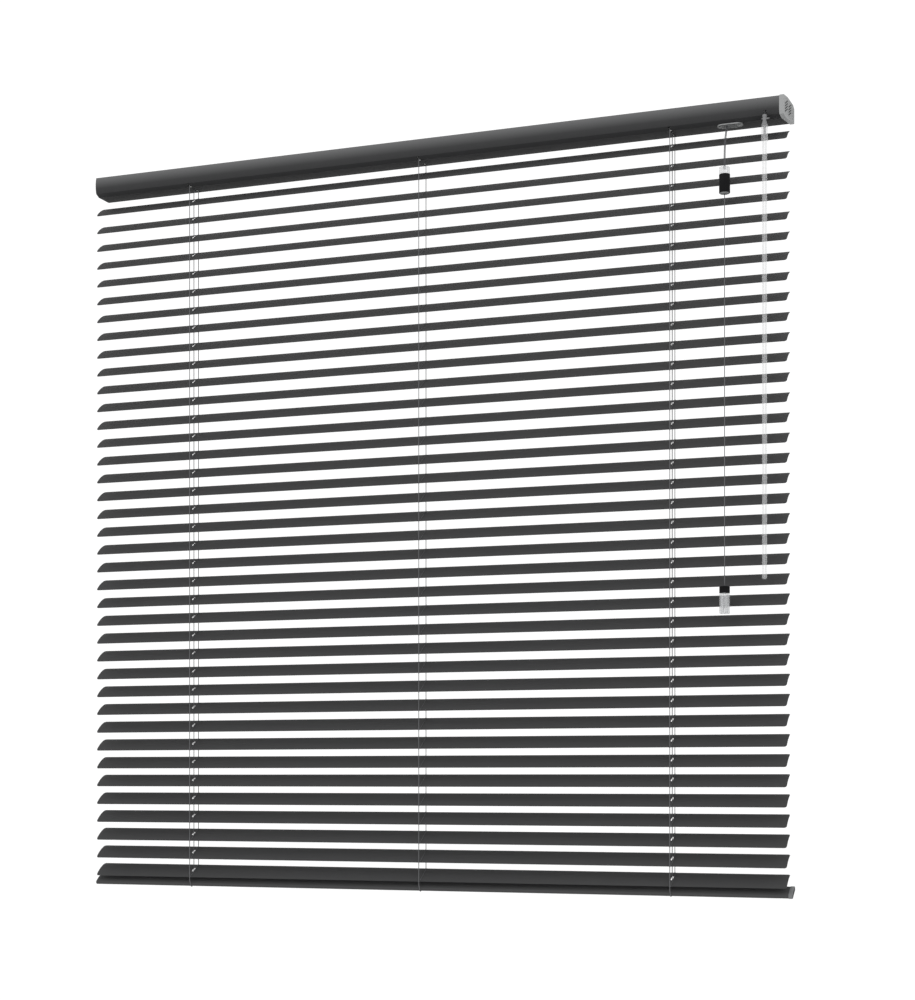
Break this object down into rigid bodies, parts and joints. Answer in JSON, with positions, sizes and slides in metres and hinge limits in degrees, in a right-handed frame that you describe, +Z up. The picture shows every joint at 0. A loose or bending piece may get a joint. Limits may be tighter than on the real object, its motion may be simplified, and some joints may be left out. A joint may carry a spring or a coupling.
{
  "type": "venetian blind",
  "caption": "Venetian blind of curved metal slats on string ladders, with a channel headrail, bottom rail, clear tilt wand and pull cord with connector and tassel.",
  "frame": {"origin": "midpoint of the two bracket screw holes, on the brackets' top face, which meets the ceiling or reveal", "axes": "+X along the blind to the wand's end, +Y towards the window, +Z up"},
  "size_m": [0.8452, 0.0425, 0.8527],
  "materials": {
    "painted_steel": "satin anthracite paint",
    "slat_paint": "matt anthracite paint on aluminium strip",
    "grey_plastic": "fine matt light grey moulding",
    "plated_steel": "zinc plated",
    "white_plastic": "satin natural white moulding",
    "dark_cord": "braided polyester cord",
    "rod_steel": "drawn bar",
    "hook_plastic": "satin mid grey moulding",
    "clear_plastic": "clear extruded plastic",
    "black_plastic": "satin black sleeve with clear ends",
    "smoke_plastic": "clear moulding with a black cap",
    "dark_plastic": "satin dark grey moulding"
  },
  "bodies": {
    "headrail_unit": {"headrail": "painted_steel", "headrail_end_caps": "grey_plastic", "mounting_brackets": "plated_steel", "drum_cradles": "white_plastic", "tilter_housing": "white_plastic", "cord_lock_body": "grey_plastic", "lift_cords": "dark_cord"},
    "tilt_rod_unit": {"tilt_rod": "rod_steel", "ladder_drums": "white_plastic", "worm_wheel": "white_plastic"},
    "worm": {"worm_screw": "white_plastic"},
    "hook": {"wand_hook": "hook_plastic"},
    "wand": {"tilt_wand": "clear_plastic"},
    "lock_roller": {"cord_lock_roller": "plated_steel"},
    "pull_cord_unit": {"pull_cord": "dark_cord", "cord_connector": "black_plastic", "cord_tassel": "smoke_plastic"},
    "front_strings": {"front_ladder_strings": "dark_cord"},
    "rear_strings": {"rear_ladder_strings": "dark_cord"},
    "bottom_rail_unit": {"bottom_rail": "painted_steel", "bottom_rail_caps": "grey_plastic", "bottom_rail_plugs": "dark_plastic"},
    "slat_01_body": {"slat_01": "slat_paint"},
    "slat_02_body": {"slat_02": "slat_paint"},
    "slat_03_body": {"slat_03": "slat_paint"},
    "slat_04_body": {"slat_04": "slat_paint"},
    "slat_05_body": {"slat_05": "slat_paint"},
    "slat_06_body": {"slat_06": "slat_paint"},
    "slat_07_body": {"slat_07": "slat_paint"},
    "slat_08_body": {"slat_08": "slat_paint"},
    "slat_09_body": {"slat_09": "slat_paint"},
    "slat_10_body": {"slat_10": "slat_paint"},
    "slat_11_body": {"slat_11": "slat_paint"},
    "slat_12_body": {"slat_12": "slat_paint"},
    "slat_13_body": {"slat_13": "slat_paint"},
    "slat_14_body": {"slat_14": "slat_paint"},
    "slat_15_body": {"slat_15": "slat_paint"},
    "slat_16_body": {"slat_16": "slat_paint"},
    "slat_17_body": {"slat_17": "slat_paint"},
    "slat_18_body": {"slat_18": "slat_paint"},
    "slat_19_body": {"slat_19": "slat_paint"},
    "slat_20_body": {"slat_20": "slat_paint"},
    "slat_21_body": {"slat_21": "slat_paint"},
    "slat_22_body": {"slat_22": "slat_paint"},
    "slat_23_body": {"slat_23": "slat_paint"},
    "slat_24_body": {"slat_24": "slat_paint"},
    "slat_25_body": {"slat_25": "slat_paint"},
    "slat_26_body": {"slat_26": "slat_paint"},
    "slat_27_body": {"slat_27": "slat_paint"},
    "slat_28_body": {"slat_28": "slat_paint"},
    "slat_29_body": {"slat_29": "slat_paint"},
    "slat_30_body": {"slat_30": "slat_paint"},
    "slat_31_body": {"slat_31": "slat_paint"},
    "slat_32_body": {"slat_32": "slat_paint"},
    "slat_33_body": {"slat_33": "slat_paint"},
    "slat_34_body": {"slat_34": "slat_paint"},
    "slat_35_body": {"slat_35": "slat_paint"},
    "slat_36_body": {"slat_36": "slat_paint"},
    "slat_37_body": {"slat_37": "slat_paint"},
    "slat_38_body": {"slat_38": "slat_paint"}
  },
  "joints": [
    {"name": "tilt_rod_turn", "type": "hinge", "parent": "headrail_unit", "child": "tilt_rod_unit", "pos_m": [0, 0, -0.0125], "axis": [1, 0, 0], "range_deg": [-188, 52]},
    {"name": "worm_spin", "type": "hinge", "parent": "headrail_unit", "child": "worm", "pos_m": [0.397, -0.018, -0.02295], "axis": [0, 0.5448, 0.8385], "range_deg": [-2256, 624]},
    {"name": "wand_swing", "type": "hinge", "parent": "headrail_unit", "child": "hook", "pos_m": [0.397, -0.018, -0.02295], "axis": [1, 0, 0], "range_deg": [-40, 0]},
    {"name": "wand_spin", "type": "hinge", "parent": "hook", "child": "wand", "pos_m": [0.397, -0.018, -0.02295], "axis": [0, 0, 1], "range_deg": [-2256, 624]},
    {"name": "lock_roller_spin", "type": "hinge", "parent": "headrail_unit", "child": "lock_roller", "pos_m": [0.357, -0.0092, -0.0135], "axis": [1, 0, 0], "continuous": true},
    {"name": "pull_cord_swing", "type": "hinge", "parent": "headrail_unit", "child": "pull_cord_unit", "pos_m": [0.3545, -0.0065, -0.0247], "axis": [0, 1, 0], "range_deg": [-4, 20]},
    {"name": "slat_01_tilt", "type": "hinge", "parent": "headrail_unit", "child": "slat_01_body", "pos_m": [0, 0, -0.0385], "axis": [1, 0, 0], "range_deg": [-94, 26]},
    {"name": "slat_02_tilt", "type": "hinge", "parent": "headrail_unit", "child": "slat_02_body", "pos_m": [0, 0, -0.06], "axis": [1, 0, 0], "range_deg": [-94, 26]},
    {"name": "slat_03_tilt", "type": "hinge", "parent": "headrail_unit", "child": "slat_03_body", "pos_m": [0, 0, -0.0815], "axis": [1, 0, 0], "range_deg": [-94, 26]},
    {"name": "slat_04_tilt", "type": "hinge", "parent": "headrail_unit", "child": "slat_04_body", "pos_m": [0, 0, -0.103], "axis": [1, 0, 0], "range_deg": [-94, 26]},
    {"name": "slat_05_tilt", "type": "hinge", "parent": "headrail_unit", "child": "slat_05_body", "pos_m": [0, 0, -0.1245], "axis": [1, 0, 0], "range_deg": [-94, 26]},
    {"name": "slat_06_tilt", "type": "hinge", "parent": "headrail_unit", "child": "slat_06_body", "pos_m": [0, 0, -0.146], "axis": [1, 0, 0], "range_deg": [-94, 26]},
    {"name": "slat_07_tilt", "type": "hinge", "parent": "headrail_unit", "child": "slat_07_body", "pos_m": [0, 0, -0.1675], "axis": [1, 0, 0], "range_deg": [-94, 26]},
    {"name": "slat_08_tilt", "type": "hinge", "parent": "headrail_unit", "child": "slat_08_body", "pos_m": [0, 0, -0.189], "axis": [1, 0, 0], "range_deg": [-94, 26]},
    {"name": "slat_09_tilt", "type": "hinge", "parent": "headrail_unit", "child": "slat_09_body", "pos_m": [0, 0, -0.2105], "axis": [1, 0, 0], "range_deg": [-94, 26]},
    {"name": "slat_10_tilt", "type": "hinge", "parent": "headrail_unit", "child": "slat_10_body", "pos_m": [0, 0, -0.232], "axis": [1, 0, 0], "range_deg": [-94, 26]},
    {"name": "slat_11_tilt", "type": "hinge", "parent": "headrail_unit", "child": "slat_11_body", "pos_m": [0, 0, -0.2535], "axis": [1, 0, 0], "range_deg": [-94, 26]},
    {"name": "slat_12_tilt", "type": "hinge", "parent": "headrail_unit", "child": "slat_12_body", "pos_m": [0, 0, -0.275], "axis": [1, 0, 0], "range_deg": [-94, 26]},
    {"name": "slat_13_tilt", "type": "hinge", "parent": "headrail_unit", "child": "slat_13_body", "pos_m": [0, 0, -0.2965], "axis": [1, 0, 0], "range_deg": [-94, 26]},
    {"name": "slat_14_tilt", "type": "hinge", "parent": "headrail_unit", "child": "slat_14_body", "pos_m": [0, 0, -0.318], "axis": [1, 0, 0], "range_deg": [-94, 26]},
    {"name": "slat_15_tilt", "type": "hinge", "parent": "headrail_unit", "child": "slat_15_body", "pos_m": [0, 0, -0.3395], "axis": [1, 0, 0], "range_deg": [-94, 26]},
    {"name": "slat_16_tilt", "type": "hinge", "parent": "headrail_unit", "child": "slat_16_body", "pos_m": [0, 0, -0.361], "axis": [1, 0, 0], "range_deg": [-94, 26]},
    {"name": "slat_17_tilt", "type": "hinge", "parent": "headrail_unit", "child": "slat_17_body", "pos_m": [0, 0, -0.3825], "axis": [1, 0, 0], "range_deg": [-94, 26]},
    {"name": "slat_18_tilt", "type": "hinge", "parent": "headrail_unit", "child": "slat_18_body", "pos_m": [0, 0, -0.404], "axis": [1, 0, 0], "range_deg": [-94, 26]},
    {"name": "slat_19_tilt", "type": "hinge", "parent": "headrail_unit", "child": "slat_19_body", "pos_m": [0, 0, -0.4255], "axis": [1, 0, 0], "range_deg": [-94, 26]},
    {"name": "slat_20_tilt", "type": "hinge", "parent": "headrail_unit", "child": "slat_20_body", "pos_m": [0, 0, -0.447], "axis": [1, 0, 0], "range_deg": [-94, 26]},
    {"name": "slat_21_tilt", "type": "hinge", "parent": "headrail_unit", "child": "slat_21_body", "pos_m": [0, 0, -0.4685], "axis": [1, 0, 0], "range_deg": [-94, 26]},
    {"name": "slat_22_tilt", "type": "hinge", "parent": "headrail_unit", "child": "slat_22_body", "pos_m": [0, 0, -0.49], "axis": [1, 0, 0], "range_deg": [-94, 26]},
    {"name": "slat_23_tilt", "type": "hinge", "parent": "headrail_unit", "child": "slat_23_body", "pos_m": [0, 0, -0.5115], "axis": [1, 0, 0], "range_deg": [-94, 26]},
    {"name": "slat_24_tilt", "type": "hinge", "parent": "headrail_unit", "child": "slat_24_body", "pos_m": [0, 0, -0.533], "axis": [1, 0, 0], "range_deg": [-94, 26]},
    {"name": "slat_25_tilt", "type": "hinge", "parent": "headrail_unit", "child": "slat_25_body", "pos_m": [0, 0, -0.5545], "axis": [1, 0, 0], "range_deg": [-94, 26]},
    {"name": "slat_26_tilt", "type": "hinge", "parent": "headrail_unit", "child": "slat_26_body", "pos_m": [0, 0, -0.576], "axis": [1, 0, 0], "range_deg": [-94, 26]},
    {"name": "slat_27_tilt", "type": "hinge", "parent": "headrail_unit", "child": "slat_27_body", "pos_m": [0, 0, -0.5975], "axis": [1, 0, 0], "range_deg": [-94, 26]},
    {"name": "slat_28_tilt", "type": "hinge", "parent": "headrail_unit", "child": "slat_28_body", "pos_m": [0, 0, -0.619], "axis": [1, 0, 0], "range_deg": [-94, 26]},
    {"name": "slat_29_tilt", "type": "hinge", "parent": "headrail_unit", "child": "slat_29_body", "pos_m": [0, 0, -0.6405], "axis": [1, 0, 0], "range_deg": [-94, 26]},
    {"name": "slat_30_tilt", "type": "hinge", "parent": "headrail_unit", "child": "slat_30_body", "pos_m": [0, 0, -0.662], "axis": [1, 0, 0], "range_deg": [-94, 26]},
    {"name": "slat_31_tilt", "type": "hinge", "parent": "headrail_unit", "child": "slat_31_body", "pos_m": [0, 0, -0.6835], "axis": [1, 0, 0], "range_deg": [-94, 26]},
    {"name": "slat_32_tilt", "type": "hinge", "parent": "headrail_unit", "child": "slat_32_body", "pos_m": [0, 0, -0.705], "axis": [1, 0, 0], "range_deg": [-94, 26]},
    {"name": "slat_33_tilt", "type": "hinge", "parent": "headrail_unit", "child": "slat_33_body", "pos_m": [0, 0, -0.7265], "axis": [1, 0, 0], "range_deg": [-94, 26]},
    {"name": "slat_34_tilt", "type": "hinge", "parent": "headrail_unit", "child": "slat_34_body", "pos_m": [0, 0, -0.748], "axis": [1, 0, 0], "range_deg": [-94, 26]},
    {"name": "slat_35_tilt", "type": "hinge", "parent": "headrail_unit", "child": "slat_35_body", "pos_m": [0, 0, -0.7695], "axis": [1, 0, 0], "range_deg": [-94, 26]},
    {"name": "slat_36_tilt", "type": "hinge", "parent": "headrail_unit", "child": "slat_36_body", "pos_m": [0, 0, -0.791], "axis": [1, 0, 0], "range_deg": [-94, 26]},
    {"name": "slat_37_tilt", "type": "hinge", "parent": "headrail_unit", "child": "slat_37_body", "pos_m": [0, 0, -0.8125], "axis": [1, 0, 0], "range_deg": [-94, 26]},
    {"name": "slat_38_tilt", "type": "hinge", "parent": "headrail_unit", "child": "slat_38_body", "pos_m": [0, 0, -0.834], "axis": [1, 0, 0], "range_deg": [-94, 26]},
    {"name": "bottom_rail_tilt", "type": "hinge", "parent": "headrail_unit", "child": "bottom_rail_unit", "pos_m": [0, 0, -0.8463], "axis": [1, 0, 0], "range_deg": [-94, 26]},
    {"name": "front_strings_sway", "type": "hinge", "parent": "bottom_rail_unit", "child": "front_strings", "pos_m": [0, -0.01069, -0.8546], "axis": [1, 0, 0], "range_deg": [-26, 94]},
    {"name": "rear_strings_sway", "type": "hinge", "parent": "bottom_rail_unit", "child": "rear_strings", "pos_m": [0, 0.0117, -0.8395], "axis": [1, 0, 0], "range_deg": [-26, 94]}
  ],
  "couplings": [
    {"joint": "worm_spin", "follows": "tilt_rod_turn", "ratio": 12},
    {"joint": "wand_spin", "follows": "tilt_rod_turn", "ratio": 12},
    {"joint": "slat_01_tilt", "follows": "tilt_rod_turn", "ratio": 0.5},
    {"joint": "slat_02_tilt", "follows": "tilt_rod_turn", "ratio": 0.5},
    {"joint": "slat_03_tilt", "follows": "tilt_rod_turn", "ratio": 0.5},
    {"joint": "slat_04_tilt", "follows": "tilt_rod_turn", "ratio": 0.5},
    {"joint": "slat_05_tilt", "follows": "tilt_rod_turn", "ratio": 0.5},
    {"joint": "slat_06_tilt", "follows": "tilt_rod_turn", "ratio": 0.5},
    {"joint": "slat_07_tilt", "follows": "tilt_rod_turn", "ratio": 0.5},
    {"joint": "slat_08_tilt", "follows": "tilt_rod_turn", "ratio": 0.5},
    {"joint": "slat_09_tilt", "follows": "tilt_rod_turn", "ratio": 0.5},
    {"joint": "slat_10_tilt", "follows": "tilt_rod_turn", "ratio": 0.5},
    {"joint": "slat_11_tilt", "follows": "tilt_rod_turn", "ratio": 0.5},
    {"joint": "slat_12_tilt", "follows": "tilt_rod_turn", "ratio": 0.5},
    {"joint": "slat_13_tilt", "follows": "tilt_rod_turn", "ratio": 0.5},
    {"joint": "slat_14_tilt", "follows": "tilt_rod_turn", "ratio": 0.5},
    {"joint": "slat_15_tilt", "follows": "tilt_rod_turn", "ratio": 0.5},
    {"joint": "slat_16_tilt", "follows": "tilt_rod_turn", "ratio": 0.5},
    {"joint": "slat_17_tilt", "follows": "tilt_rod_turn", "ratio": 0.5},
    {"joint": "slat_18_tilt", "follows": "tilt_rod_turn", "ratio": 0.5},
    {"joint": "slat_19_tilt", "follows": "tilt_rod_turn", "ratio": 0.5},
    {"joint": "slat_20_tilt", "follows": "tilt_rod_turn", "ratio": 0.5},
    {"joint": "slat_21_tilt", "follows": "tilt_rod_turn", "ratio": 0.5},
    {"joint": "slat_22_tilt", "follows": "tilt_rod_turn", "ratio": 0.5},
    {"joint": "slat_23_tilt", "follows": "tilt_rod_turn", "ratio": 0.5},
    {"joint": "slat_24_tilt", "follows": "tilt_rod_turn", "ratio": 0.5},
    {"joint": "slat_25_tilt", "follows": "tilt_rod_turn", "ratio": 0.5},
    {"joint": "slat_26_tilt", "follows": "tilt_rod_turn", "ratio": 0.5},
    {"joint": "slat_27_tilt", "follows": "tilt_rod_turn", "ratio": 0.5},
    {"joint": "slat_28_tilt", "follows": "tilt_rod_turn", "ratio": 0.5},
    {"joint": "slat_29_tilt", "follows": "tilt_rod_turn", "ratio": 0.5},
    {"joint": "slat_30_tilt", "follows": "tilt_rod_turn", "ratio": 0.5},
    {"joint": "slat_31_tilt", "follows": "tilt_rod_turn", "ratio": 0.5},
    {"joint": "slat_32_tilt", "follows": "tilt_rod_turn", "ratio": 0.5},
    {"joint": "slat_33_tilt", "follows": "tilt_rod_turn", "ratio": 0.5},
    {"joint": "slat_34_tilt", "follows": "tilt_rod_turn", "ratio": 0.5},
    {"joint": "slat_35_tilt", "follows": "tilt_rod_turn", "ratio": 0.5},
    {"joint": "slat_36_tilt", "follows": "tilt_rod_turn", "ratio": 0.5},
    {"joint": "slat_37_tilt", "follows": "tilt_rod_turn", "ratio": 0.5},
    {"joint": "slat_38_tilt", "follows": "tilt_rod_turn", "ratio": 0.5},
    {"joint": "front_strings_sway", "follows": "tilt_rod_turn", "ratio": -0.5},
    {"joint": "bottom_rail_tilt", "follows": "tilt_rod_turn", "ratio": 0.5},
    {"joint": "rear_strings_sway", "follows": "tilt_rod_turn", "ratio": -0.5}
  ]
}
